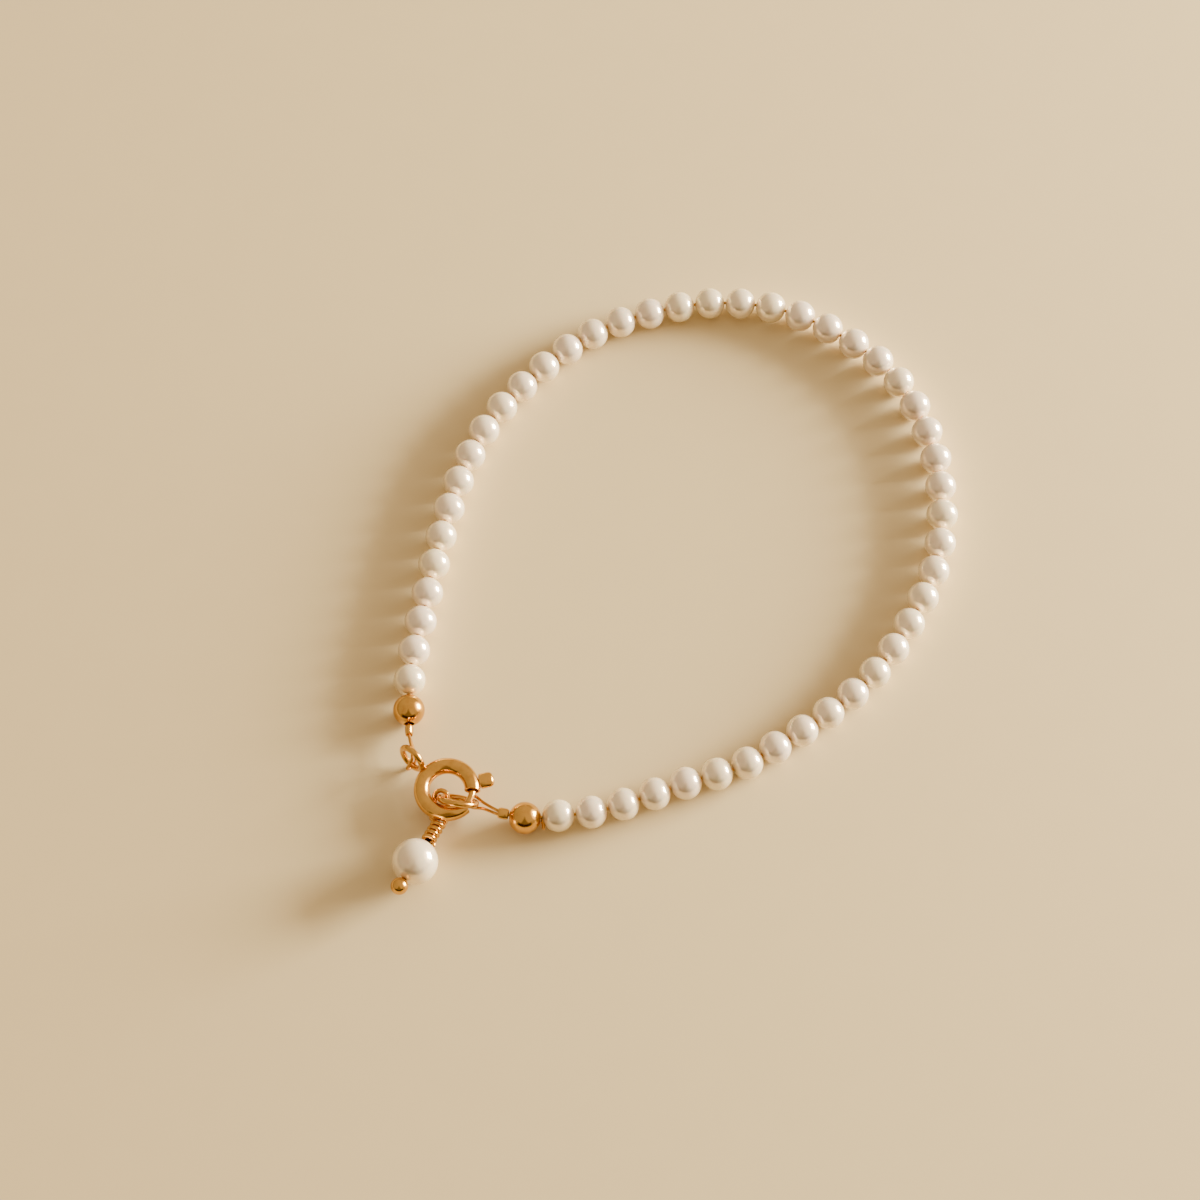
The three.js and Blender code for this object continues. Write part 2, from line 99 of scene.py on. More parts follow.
# Room round the bracelet by direction, on a sphere of radius 1: each pair is where a step starts
# and ends, and the single values are the shade's slope, its depth above and shares of the light
SHADE_SIDES, SHADE_LOW_TOP, SHADE_NEAR_SIDE = (0.62, 0.8), (0.34, 0.46), (-0.3, -0.1)
SHADE_SLOPE, SHADE_HIGH_EDGE, SHADE_HIGH_DEPTH, SHADE_LIGHT = 1.25, (0.94, 1.08), 0.65, 0.5
WINDOW_SIDE = (0.93, 0.28, 0.22)
ROOM_FALL, ROOM_FAR_LIGHT = (-0.7, 0.6), 0.75
GLOW_EDGE, GLOW_STRENGTH = (0.82, 0.96), 4.5
HORIZON_RISE, HORIZON_LIGHT = (0.0, 0.4), 0.7


def joint_place(name):
    """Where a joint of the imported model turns, in mm."""
    for joint in frame["record"]["behaviour"]["joints"]:
        if joint["name"] == name:
            return Vector(joint["pos_m"]) / MM
    raise RuntimeError(f"no joint named {name}")


# The route above is drawn about the middle of the picture; the model's own origin is elsewhere
LAYOUT_SHIFT = joint_place("trigger") - Vector((*CLASP_PLACE, joint_place("trigger").z))


# Properties

def length(name, description, default):
    """A length in millimetres."""
    return FloatProperty(name=name, description=f"{description}, in mm", default=default, min=0.01,
                         soft_max=default * 3, precision=3)


def share(name, description, default, low, high):
    """A share of another size."""
    return FloatProperty(name=name, description=f"{description}, as a share", default=default,
                         min=low, max=high)


def number(name, description, default, unit="NONE"):
    """A number of the stage."""
    return FloatProperty(name=name, description=description, default=default, unit=unit)


class PearlSizes(PropertyGroup):
    """Sizes of the string's pearls and of the charm's pearl."""

    across: length("Across", "Pearl's width across its hole", 3.1)
    along: length("Along", "Pearl's length along its hole", 3.02)
    gap: length("Gap", "Wire that shows between two pearls", 0.04)
    charm: length("Charm pearl", "Diameter of the pearl on the charm", 4.3)
    hole: length("Drilled hole", "Diameter of the drilled hole", 0.54)
    unevenness: share("Unevenness", "How far a pearl's skin departs from round", 0.011, 0.0, 0.05)
    seed: IntProperty(name="Seed", description="Picks the unevenness of each pearl", default=7)


class WireSizes(PropertyGroup):
    """Sizes of the beading wire and of the beads that close the string."""

    wire: length("Beading wire", "Diameter of the beading wire", 0.3)
    leg_gap: length("Leg gap", "Space between a wire and what it passes", 0.09)
    ball: length("End ball", "Diameter of the gold balls", 3.0)
    ball_hole: length("Ball hole", "Diameter of the hole through a ball", 0.96)
    crimp_length: length("Crimp length", "Length of a crimp bead", 1.0)
    crimp_width: length("Crimp width", "Width of a crimp bead", 1.1)
    crimp_wall: length("Crimp wall", "Wall of a crimp bead", 0.12)
    crimp_squash: share("Crimp squash", "How flat a crimp bead is pressed", 0.72, 0.3, 1.0)
    bead_clearance: length("Bead clearance", "Space between neighbouring beads", 0.06)
    tail: length("Tail", "How far the wire's cut end stands out", 0.95)


class ClaspSizes(PropertyGroup):
    """Sizes of the spring ring clasp, its eye and the closed ring."""

    ring: length("Clasp", "Outer diameter of the spring ring", 6.2)
    tube: length("Tube", "Diameter of its tube", 1.5)
    wall: length("Wall", "Wall of its tube", 0.22)
    height: length("Height", "Height of its middle above the floor", 1.85)
    bolt: length("Bolt", "Diameter of the sliding bolt", 0.64)
    trigger_width: length("Trigger width", "Width of the thumb tab", 1.5)
    trigger_depth: length("Trigger depth", "Thickness of the thumb tab", 0.95)
    trigger_reach: length("Trigger reach", "How far the thumb tab stands out", 1.28)
    trigger_neck: length("Trigger neck", "Width of the neck in the slot", 0.42)
    clearance: length("Clearance", "Running clearance of the trigger", 0.07)
    eye: length("Eye", "Outer diameter of the soldered eye", 3.05)
    eye_wire: length("Eye wire", "Wire of the eye", 0.6)
    eye_height: length("Eye height", "Height of the eye's middle", 1.95)
    eye_solder: length("Solder depth", "How deep the eye sits in the tube", 0.1)
    closed: length("Closed ring", "Outer diameter of the closed ring", 4.0)
    closed_wire: length("Closed ring wire", "Wire of the closed ring", 0.62)
    closed_floor: length("Closed ring gap", "Space under the closed ring", 0.03)
    closed_shift: length("Closed ring shift", "How far it hangs past the bolt", 0.95)


class CharmSizes(PropertyGroup):
    """Sizes of the pin that carries the charm's pearl."""

    wire: length("Pin wire", "Diameter of the pin's wire", 0.45)
    head: length("Pin head", "Diameter of the ball on the pin's end", 1.62)
    turns: IntProperty(name="Turns", description="Turns of the wrapped wire", default=4, min=1)
    pitch: length("Pitch", "Distance between two turns", 0.49)
    neck_height: length("Neck height", "Height of the wire where the wrapping starts", 1.3)
    neck_gap: length("Neck gap", "Space between the wrapping and the clasp", 0.05)


def colour_property(name, description, default):
    """A colour as an sRGB hex value."""
    return StringProperty(name=name, description=description, default=default, maxlen=7)


class Colours(PropertyGroup):
    """Colours as sRGB hex values."""

    pearl_cream: colour_property("Nacre, cream", "Body colour of the creamiest pearls", "#FFF0D0")
    pearl_rose: colour_property("Nacre, rose", "Body colour of the pinkest pearls", "#FFEEDB")
    pearl_shell: colour_property("Nacre, deep", "Colour of the thicker growth patches", "#F8E4C2")
    gold: colour_property("Gold", "Colour of the polished gold", "#DEAD58")
    gold_deep: colour_property("Gold, deep", "Gold where handling has dulled it", "#B57A30")
    wire_gold: colour_property("Wire", "Colour of the beading wire", "#CD984A")
    floor: colour_property("Floor", "Colour of the pale floor", "#DFCDA0")
    window: colour_property("Window", "Colour of the window light", "#FFF3DE")
    sky: colour_property("Room light", "Colour of the soft light from above", "#FFDFB4")
    shade: colour_property("Shade", "Colour of the dark side of the room, on the near side", "#4A2412")


class StageSettings(PropertyGroup):
    """Camera, floor and lights."""

    elevation: number("Camera elevation", "Angle of the camera above the floor, in degrees", 65.0)
    distance: number("Camera distance", "From the camera to the middle of the picture", 0.28834,
                     "LENGTH")
    lens: number("Lens", "Focal length, in mm", 90.0)
    floor_radius: number("Floor radius", "Radius of the round floor", 0.42, "LENGTH")
    key_elevation: number("Window elevation", "Angle of the window above the floor, in degrees", 12.0)
    key_heading: number("Window heading", "Direction of the window from +X, in degrees", 18.0)
    key_distance: number("Window distance", "From the window to the bracelet", 0.6, "LENGTH")
    key_width: number("Window width", "Width of the window light", 0.26, "LENGTH")
    key_height: number("Window height", "Height of the window light", 0.24, "LENGTH")
    key_power: number("Window power", "Power of the window light", 21.0, "POWER")
    sky_strength: number("Room light", "Strength of the soft light from above", 0.93)


class BraceletSettings(PropertyGroup):
    """Everything that a user would change."""

    pearls: PointerProperty(type=PearlSizes)
    wire: PointerProperty(type=WireSizes)
    clasp: PointerProperty(type=ClaspSizes)
    charm: PointerProperty(type=CharmSizes)
    colours: PointerProperty(type=Colours)
    stage: PointerProperty(type=StageSettings)


def settings():
    return bpy.context.scene.bracelet


# Curves and places

def heading(angle):
    """Unit vector in the plane of the floor at an angle from +X, in degrees."""
    return Vector((cos(radians(angle)), sin(radians(angle)), 0.0))


def place(x, y, z=0.0):
    """A point of the layout in the model's frame, in mm."""
    return Vector((x, y, z)) + LAYOUT_SHIFT


def cubic(p0, p1, d0, d1, t):
    """Point of a cubic with end points and end slopes."""
    c2 = -3 * p0 + 3 * p1 - 2 * d0 - d1
    c3 = 2 * p0 - 2 * p1 + d0 + d1
    return p0 + d0 * t + c2 * (t * t) + c3 * (t * t * t)


def smooth_line(points, per_span=12):
    """Centripetal spline through the points, as a list of points."""
    ends = [2 * points[0] - points[1], *points, 2 * points[-1] - points[-2]]
    line = []
    for a, b, c, d in zip(ends, ends[1:], ends[2:], ends[3:]):
        before, here, after = (max((q - p).length ** 0.5, 1e-4) for p, q in ((a, b), (b, c), (c, d)))
        start = ((b - a) / before - (c - a) / (before + here) + (c - b) / here) * here
        end = ((c - b) / here - (d - b) / (here + after) + (d - c) / after) * here
        line.extend(cubic(b, c, start, end, i / per_span) for i in range(per_span))
    return [*line, points[-1].copy()]


class Route:
    """The string's centre line, measured by distance from the left crimp."""

    def __init__(self, height):
        self.points = smooth_line([place(x, y, height) for x, y in STRING_ROUTE], 200)
        self.marks = [0.0]
        for a, b in zip(self.points, self.points[1:]):
            self.marks.append(self.marks[-1] + (b - a).length)
        self.length = self.marks[-1]

    def at(self, distance):
        """Point and direction at a distance."""
        distance = min(max(distance, 0.0), self.length)
        low = min(bisect_right(self.marks, distance), len(self.marks) - 1) - 1
        a, b = self.points[low:low + 2]
        passed = (distance - self.marks[low]) / (self.marks[low + 1] - self.marks[low])
        return a.lerp(b, passed), (b - a).normalized()


def string_layout():
    """Route, distance of each pearl's middle, and distance from a crimp to its ball."""
    pearls, wire = settings().pearls, settings().wire
    route = Route(pearls.across / 2)
    to_ball = wire.crimp_length / 2 + wire.bead_clearance + wire.ball / 2
    start = to_ball + wire.ball / 2 + wire.bead_clearance
    span = route.length - 2 * start
    count = round(span / (pearls.along + pearls.gap))
    middles = [start + span / count * (i + 0.5) for i in range(count)]
    return route, middles, to_ball


# Meshes

def in_scene(name, data):
    """A new object that shows the data."""
    made = bpy.data.objects.new(name, data)
    bpy.context.scene.collection.objects.link(made)
    return made


def new_piece(name, verts, faces, maker, node_name, body="bracelet", tones=None):
    """Mesh object from points in mm, riding on a body and standing for a CAD node."""
    mesh = bpy.data.meshes.new(name)
    mesh.from_pydata([tuple(v * MM) for v in verts], [], faces)
    mesh.validate()
    mesh.polygons.foreach_set("use_smooth", [True] * len(mesh.polygons))
    if tones is not None:
        layer = mesh.attributes.new("tone", "FLOAT", "POINT")
        layer.data.foreach_set("value", tones)
    mesh.materials.append(made_once(maker))
    piece = in_scene(name, mesh)
    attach(piece, body)
    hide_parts(node_name)
    return piece


class Shape:
    """Points and faces that are gathered into one mesh."""

    def __init__(self):
        self.verts, self.faces, self.tones = [], [], []

    def add(self, verts, faces, tone=0.5):
        base = len(self.verts)
        self.verts.extend(verts)
        self.tones.extend([tone] * len(verts))
        self.faces.extend(tuple(base + i for i in face) for face in faces)
        return self


def corners(row, i, sides, rows):
    """Four corners of one cell in a grid of rows * sides points."""
    j, after = (i + 1) % sides, (row + 1) % rows
    return row * sides + i, row * sides + j, after * sides + j, after * sides + i


def grid_faces(rows, sides, along=False):
    """Faces of a grid of rows * sides points, closed round each row, or from last row to first."""
    return [corners(row, i, sides, rows) for row in range(rows if along else rows - 1)
            for i in range(sides)]


def turned(profile, sides, axis, origin, squash=1.0, side=None, shape=None):
    """Turned shape: a profile of (along, radius) swung round an axis."""
    side = axis.orthogonal().normalized() if side is None else side
    third = axis.cross(side)
    verts = []
    for along, radius in profile:
        for i in range(sides):
            angle = 2 * pi * i / sides
            out = side * cos(angle) + third * (sin(angle) * squash)
            scale = shape(along, angle) if shape else 1.0
            verts.append(origin + axis * along + out * (radius * scale))
    return verts, grid_faces(len(profile), sides)


def capped(verts, faces, sides):
    """Closes both ends of a turned shape or tube with one face each."""
    last = len(verts) - sides
    return verts, [*faces, tuple(range(sides - 1, -1, -1)), tuple(range(last, last + sides))]


def drilled(verts, faces, sides):
    """Joins the last row of a turned shape to its first, as the wall of a hole."""
    last = len(verts) // sides - 1
    return verts, [*faces, *(corners(last, i, sides, last + 1) for i in range(sides))]


def tube(points, radius, sides=16, closed=False):
    """Round tube along points, without twist, closed in a ring or with rounded ends."""
    count = len(points)
    tangents = []
    for i in range(count):
        before = points[i - 1] if closed or i else points[0]
        after = points[(i + 1) % count] if closed or i < count - 1 else points[-1]
        tangents.append((after - before).normalized())
    side = tangents[0].orthogonal().normalized()
    rings = []
    for point, tangent in zip(points, tangents):
        side = (side - tangent * side.dot(tangent)).normalized()
        rings.append((point, tangent, side, radius))
    if not closed:
        rings = [*dome(rings[0], -1), *rings, *reversed(dome(rings[-1], 1))]
    verts = []
    for point, tangent, side, size in rings:
        third = tangent.cross(side)
        for i in range(sides):
            angle = 2 * pi * i / sides
            verts.append(point + (side * cos(angle) + third * sin(angle)) * size)
    faces = grid_faces(len(rings), sides, along=closed)
    return (verts, faces) if closed else capped(verts, faces, sides)


def dome(ring, sign):
    """Rings that round off a tube's end, from the tip to the tube."""
    point, tangent, side, radius = ring
    steps = ((0.5, 0.12), (0.46, 0.45), (0.36, 0.72), (0.2, 0.92))
    return [(point + tangent * (sign * radius * out), tangent, side, radius * size)
            for out, size in steps]


# Materials

def linear(hex_colour):
    """sRGB hex value to linear RGBA."""
    channels = [int(hex_colour[i:i + 2], 16) / 255 for i in (1, 3, 5)]
    return (*(c / 12.92 if c <= 0.04045 else ((c + 0.055) / 1.055) ** 2.4 for c in channels), 1.0)


def node(tree, kind, links=(), **sets):
    """Adds a node, sets its fields or sockets by name, and links (socket, output) pairs into it."""
    made = tree.nodes.new(f"ShaderNode{kind}")
    for key, value in sets.items():
        if hasattr(made, key):
            setattr(made, key, value)
        else:
            made.inputs[key.replace("_", " ")].default_value = value
    for socket, output in links:
        tree.links.new(output, made.inputs[socket])
    return made


def blank_material(name):
    """A material with only its output and its Principled shader."""
    material = bpy.data.materials.new(name)
    material.use_nodes = True
    tree = material.node_tree
    tree.nodes.clear()
    output = tree.nodes.new("ShaderNodeOutputMaterial")
    shader = tree.nodes.new("ShaderNodeBsdfPrincipled")
    tree.links.new(shader.outputs["BSDF"], output.inputs["Surface"])
    return material, tree, shader


def feed(tree, socket, value):
    """Links an output into a socket, or sets the socket to a constant."""
    if isinstance(value, bpy.types.NodeSocket):
        tree.links.new(value, socket)
    else:
        socket.default_value = value


def dress(tree, shader, **sockets):
    """Feeds the shader's sockets by name."""
    for name, value in sockets.items():
        feed(tree, shader.inputs[name.replace("_", " ")], value)


def grain(tree, width, detail, roughness):
    """Noise in the object's own coordinates, its patches about as wide as given, in mm."""
    place_in = node(tree, "TexCoord")
    made = node(tree, "TexNoise", [("Vector", place_in.outputs["Object"])],
                Scale=1 / (width * MM), Detail=detail, Roughness=roughness)
    return made.outputs["Fac"]


def spread(tree, value, limits, results, kind="LINEAR"):
    """Maps a value between two limits onto the range between two results."""
    made = node(tree, "MapRange", [("Value", value)], interpolation_type=kind)
    for name, number in zip(("From Min", "From Max", "To Min", "To Max"), (*limits, *results)):
        made.inputs[name].default_value = number
    return made.outputs["Result"]


def blend(tree, factor, first, second):
    """Mix of two colours, each an output or a constant."""
    made = node(tree, "Mix", [("Factor", factor)], data_type="RGBA")
    feed(tree, made.inputs["A"], first)
    feed(tree, made.inputs["B"], second)
    return made.outputs["Result"]


def relief(tree, height, strength, depth):
    """Shallow relief from a height, its depth in mm."""
    made = node(tree, "Bump", [("Height", height)], Strength=strength,
                Distance=depth * MM)
    return made.outputs["Normal"]


def pearl_nacre():
    """Cultured pearl nacre: layered aragonite, which gives a soft deep glow under a clear gloss.

    The body colour wanders a little from pearl to pearl and in growth patches about 1.5 mm
    wide; the thin film gives the faint rose and green overtone at the edges. Growth lines are
    drawn 0.25 mm wide, so that they show. The stacked layers mirror more than one clear coat
    would, so the nacre is partly metallic.
    """
    colours = settings().colours
    material, tree, shader = blank_material("pearl_nacre")
    tone = node(tree, "Attribute", attribute_name="tone")
    body = blend(tree, tone.outputs["Fac"], linear(colours.pearl_cream), linear(colours.pearl_rose))
    patches = grain(tree, 1.5, 2.0, 0.5)
    share = spread(tree, patches, (0.48, 0.75), (0.0, 0.4))
    dress(tree, shader,
          Base_Color=blend(tree, share, body, linear(colours.pearl_shell)),
          Normal=relief(tree, grain(tree, 0.25, 3.0, 0.55), 0.05, 0.02),
          Roughness=spread(tree, patches, (0.0, 1.0), (0.13, 0.2)),
          Metallic=0.34, IOR=1.58,
          Subsurface_Weight=0.25, Subsurface_Radius=(1.0, 0.72, 0.5), Subsurface_Scale=0.4 * MM,
          Coat_Weight=1.0, Coat_Roughness=0.09, Coat_IOR=1.62,
          Thin_Film_Thickness=300.0, Thin_Film_IOR=1.66)
    return material


def gold_metal(name, colour, roughness, ripple):
    """Gold: a metal at the default IOR, its colour darker where it is worn.

    Polishing leaves shallow waves about 0.5 mm long.
    """
    material, tree, shader = blank_material(name)
    patches = grain(tree, 1.2, 3.0, 0.6)
    worn = spread(tree, patches, (0.45, 0.8), (0.0, 0.6))
    dress(tree, shader,
          Base_Color=blend(tree, worn, linear(colour), linear(settings().colours.gold_deep)),
          Roughness=spread(tree, patches, (0.0, 1.0), (roughness * 0.7, roughness * 1.5)),
          Normal=relief(tree, grain(tree, 0.5, 2.0, 0.5), ripple, 0.05),
          Metallic=1.0)
    return material


def polished_gold():
    """Polished gold-filled metal: mirror-bright, with dark warm reflections of the room."""
    return gold_metal("polished_gold", settings().colours.gold, 0.14, 0.15)


def drawn_gold_wire():
    """Drawn beading wire: a little duller than the polished beads, so its glints are softer."""
    return gold_metal("drawn_gold_wire", settings().colours.wire_gold, 0.22, 0.3)


def matt_card():
    """Matt sized card: even, with a faint mottling of about 4 mm and a fine tooth."""
    material, tree, shader = blank_material("matt_card")
    colour = linear(settings().colours.floor)
    darker = (*(c * 0.965 for c in colour[:3]), 1.0)
    dress(tree, shader,
          Base_Color=blend(tree, grain(tree, 4, 3.0, 0.5), colour, darker),
          Normal=relief(tree, grain(tree, 0.3, 2.0, 0.6), 0.08, 0.03),
          Roughness=0.62, Specular_IOR_Level=0.35)
    return material


def made_once(maker):
    """The material that a function makes, which bears the function's name."""
    return bpy.data.materials.get(maker.__name__) or maker()


# Pearls

def pearl_shape(rows, sides, half, radius, hole, axis, origin, side, seed, unevenness):
    """One pearl, drilled along its axis: near-round, with a soft dimple at each hole."""
    rim = asin(min(hole / radius, 0.9))
    offset = Vector((seed * 3.7, seed * 1.3, seed * 2.1))

    def swell(along, angle):
        where = Vector((along, cos(angle), sin(angle))) * 0.9 + offset
        return 1.0 + unevenness * noise.noise(where)

    profile = []
    for i in range(rows + 1):
        angle = rim + (pi - 2 * rim) * i / rows
        along, across = -cos(angle), sin(angle)
        dimple = exp(-((across * radius - hole) / (0.18 * radius)) ** 2) * 0.01 * radius
        profile.append((along * half - copysign(dimple, along), across * radius))
    inner = hole * 0.9
    profile = [(profile[0][0] + 0.1 * half, inner), (profile[0][0] + 0.02 * half, hole * 0.93),
               *profile, (profile[-1][0] - 0.02 * half, hole * 0.93),
               (profile[-1][0] - 0.1 * half, inner)]
    verts, faces = turned(profile, sides, axis, origin, side=side, shape=swell)
    return capped(verts, faces, sides)


class BRACELET_OT_string_pearls(Operator):
    """Build the pearls of the string"""

    bl_idname = "bracelet.string_pearls"
    bl_label = "String pearls"

    def execute(self, context):
        sizes = settings().pearls
        route, middles, _ = string_layout()
        draw = random.Random(sizes.seed)
        shape = Shape()
        for number, middle in enumerate(middles):
            point, along = route.at(middle)
            tilt = Vector([draw.uniform(-1, 1) for _ in range(3)]) * 0.035
            axis = (along + tilt).normalized()
            across = sizes.across / 2 * draw.uniform(0.985, 1.005)
            half = sizes.along / 2 * draw.uniform(0.99, 1.01)
            side = axis.cross(UP).normalized()
            spin = Matrix.Rotation(draw.uniform(0, 2 * pi), 3, axis)
            low = point.z - across
            verts, faces = pearl_shape(22, 32, half, across, 0.18, axis, point - UP * low,
                                       spin @ side, number + 1, sizes.unevenness)
            shape.add(verts, faces, draw.random())
        new_piece("string_pearls", shape.verts, shape.faces, pearl_nacre, "pearl_string",
                  tones=shape.tones)
        return {"FINISHED"}


class BRACELET_OT_beading_wire(Operator):
    """Build the beading wire that carries the pearls, and its cut end"""

    bl_idname = "bracelet.beading_wire"
    bl_label = "Beading wire"

    def execute(self, context):
        wire = settings().wire
        route, _, to_ball = string_layout()
        radius = wire.wire / 2
        steps = 480
        reach = route.length - 2 * wire.leg_gap
        line = [route.at(wire.leg_gap + reach * i / steps)[0] for i in range(steps + 1)]
        shape = Shape().add(*tube(line, radius, 12))
        point, along = route.at(route.length - to_ball)
        front = -along.cross(UP).normalized()
        in_gap = wire.ball / 2 + wire.bead_clearance + wire.leg_gap
        tail = smooth_line([
            point - along * in_gap,
            point - along * in_gap + front * wire.wire,
            point - along * (in_gap + wire.leg_gap) + front * (wire.tail / 2),
            point - along * (in_gap + radius) + front * wire.tail,
        ], 6)
        shape.add(*tube(tail, radius, 12))
        new_piece("beading_wire", shape.verts, shape.faces, drawn_gold_wire, "pearl_string")
        return {"FINISHED"}


class BRACELET_OT_end_balls(Operator):
    """Build the hollow gold balls at both ends"""

    bl_idname = "bracelet.end_balls"
    bl_label = "End balls"

    def execute(self, context):
        wire = settings().wire
        route, _, to_ball = string_layout()
        radius, hole = wire.ball / 2, wire.ball_hole / 2
        rim = asin(hole / radius)
        lip = 0.05
        outer = [(-radius * cos(a), radius * sin(a))
                 for a in (rim + 0.06 + (pi - 2 * rim - 0.12) * i / 30 for i in range(31))]
        end = radius * cos(rim)
        rolled = [(end + lip * 0.1, hole + lip * 0.4), (end - lip, hole), (end - 0.25, hole)]
        profile = [*((-along, size) for along, size in reversed(rolled)), *outer, *rolled]
        for name, distance in (("left", to_ball), ("right", route.length - to_ball)):
            point, along = route.at(distance)
            verts, faces = drilled(*turned(profile, BALL_SIDES, along, point), BALL_SIDES)
            new_piece(f"end_ball_{name}", verts, faces, polished_gold, f"gold_ball_{name}")
        return {"FINISHED"}


class BRACELET_OT_crimps(Operator):
    """Build the pressed crimp beads at both ends"""

    bl_idname = "bracelet.crimps"
    bl_label = "Crimp beads"

    def execute(self, context):
        wire = settings().wire
        route, _, _ = string_layout()
        outer, half, wall = wire.crimp_width / 2, wire.crimp_length / 2, wire.crimp_wall
        inner = outer - wall * 1.2
        marks = [i / 8 for i in range(-8, 9)]
        skin = [(half * m, outer * (1 - 0.2 * abs(m) ** 3)) for m in marks]
        profile = [(-half * 0.97, inner), *skin, (half * 0.97, inner)]

        def pressed(at, angle):
            """The jaws of the pliers leave four soft flats."""
            return 1.0 - 0.035 * (1 - abs(cos(2 * angle))) * (1 - (at / half) ** 2)

        # The left crimp stands on edge and the right one lies flat
        for name, distance in (("left", 0.0), ("right", route.length)):
            point, along = route.at(distance)
            side = UP - along * UP.dot(along) if name == "left" else along.cross(UP)
            verts, faces = drilled(*turned(profile, CRIMP_SIDES, along, point, wire.crimp_squash,
                                           side.normalized(), pressed), CRIMP_SIDES)
            new_piece(f"crimp_bead_{name}", verts, faces, polished_gold, f"crimp_{name}")
        return {"FINISHED"}


# Rings and loops

class Ring:
    """A small ring that stands or leans: its middle, radius, wire and two directions."""

    def __init__(self, centre, middle, wire, long_angle, lean):
        self.centre, self.middle, self.wire = centre, middle, wire
        self.long = heading(long_angle)
        self.leaning = heading(long_angle - 90) * cos(radians(lean)) \
            + UP * sin(radians(lean))
        self.normal = self.long.cross(self.leaning)

    def out(self, angle):
        """Unit vector from the centre at an angle from the long direction."""
        a = radians(angle)
        return self.long * cos(a) + self.leaning * sin(a)

    def at(self, angle):
        """Point on the wire's middle."""
        return self.centre + self.out(angle) * self.middle

    def mesh(self, steps=72, sides=24):
        """The ring as a closed tube."""
        return tube([self.at(360 * i / steps) for i in range(steps)], self.wire / 2, sides, closed=True)


def clasp_centre():
    return place(*CLASP_PLACE, settings().clasp.height)


def clasp_middle():
    """Middle radius of the clasp's tube."""
    return (settings().clasp.ring - settings().clasp.tube) / 2


def eye_ring():
    """The eye that stands on its edge, soldered to the clasp's tube."""
    clasp = settings().clasp
    middle = clasp_middle()
    drop = clasp.height - clasp.eye_height
    reach = middle + sqrt((clasp.tube / 2) ** 2 - drop ** 2)
    out = reach + clasp.eye / 2 - clasp.eye_solder
    centre = clasp_centre() + heading(EYE_ANGLE) * out - UP * drop
    return Ring(centre, (clasp.eye - clasp.eye_wire) / 2, clasp.eye_wire, EYE_ANGLE, EYE_LEAN)


def held_ring():
    """The closed ring that the bolt holds."""
    clasp = settings().clasp
    middle = (clasp.closed - clasp.closed_wire) / 2
    rise = sin(radians(CLOSED_LEAN))
    height = middle * rise + clasp.closed_wire / 2 + clasp.closed_floor
    ring = Ring(Vector(), middle, clasp.closed_wire, CLOSED_HEADING, CLOSED_LEAN)
    bolt = clasp_centre() + heading(HOOK_ANGLE) * clasp_middle()
    drop = (clasp.height - height) / rise
    ring.centre = bolt - ring.long * clasp.closed_shift - ring.leaning * drop
    return ring


def half_turn(point, clear, side, through):
    """Points of a half turn about a point, from one side of it through another direction."""
    return [point + side * (clear * cos(radians(a)))
            + through * (clear * sin(radians(a))) for a in (0, 45, 90, 135, 180)]


def wire_loop(name, crimp_point, outward, wide, bend):
    """Doubled end of the beading wire: two legs out of a crimp and a bend."""
    wire = settings().wire
    spread = wire.wire / 2 + wire.leg_gap / 4

    def leg(side):
        return [crimp_point + outward * far + wide * (side * spread)
                for far in (wire.leg_gap * 2, wire.crimp_length / 4, wire.crimp_length / 2)]

    line = smooth_line([*leg(1), *bend, *reversed(leg(-1))], 12)
    verts, faces = tube(line, wire.wire / 2, 16)
    new_piece(f"{name}_wire", verts, faces, drawn_gold_wire, name)


def through_the_eye(eye, wire):
    """Points through the eye, round its wire and back outside it."""
    clear = eye.wire / 2 + wire.wire / 2 + wire.leg_gap
    start, outward = eye.at(EYE_LOOP_ANGLE), eye.out(EYE_LOOP_ANGLE)
    behind = start + eye.normal * clear - outward * (eye.middle / 2)
    return [eye.centre, *half_turn(start, clear, -eye.normal, outward), behind]


def round_the_ring(held, wire, crimp_point):
    """Points round the closed ring's wire, pinched together on the way to the crimp."""
    clear = held.wire / 2 + wire.wire / 2 + wire.leg_gap
    start = held.at(RIGHT_LOOP_ANGLE)
    near = start + (crimp_point - start).normalized() * (clear * 2)
    bend = half_turn(start, clear, held.normal, -held.out(RIGHT_LOOP_ANGLE))
    return [near + held.normal * (clear / 2), *bend, near - held.normal * (clear / 2)]


class BRACELET_OT_wire_loops(Operator):
    """Build the wire loops that join the crimps to the eye and to the closed ring"""

    bl_idname = "bracelet.wire_loops"
    bl_label = "Wire loops"

    def execute(self, context):
        wire = settings().wire
        route, _, _ = string_layout()
        eye, held = eye_ring(), held_ring()
        point, along = route.at(0.0)
        wire_loop("wire_loop_left", point, -along, UP, through_the_eye(eye, wire))
        point, along = route.at(route.length)
        bend = round_the_ring(held, wire, point)
        wire_loop("wire_loop_right", point, along, UP.cross(along), bend)
        return {"FINISHED"}


class BRACELET_OT_closed_ring(Operator):
    """Build the closed ring that the bolt holds"""

    bl_idname = "bracelet.closed_ring"
    bl_label = "Closed ring"

    def execute(self, context):
        verts, faces = held_ring().mesh()
        new_piece("closed_ring_wire", verts, faces, polished_gold, "closed_ring")
        return {"FINISHED"}


# Clasp

def tube_point(centre, middle, angle, radius, turn):
    """Point on a ring-shaped tube: angle round the ring and turn round the tube, in degrees."""
    t = radians(turn)
    return centre + heading(angle) * (middle + radius * cos(t)) + UP * (radius * sin(t))


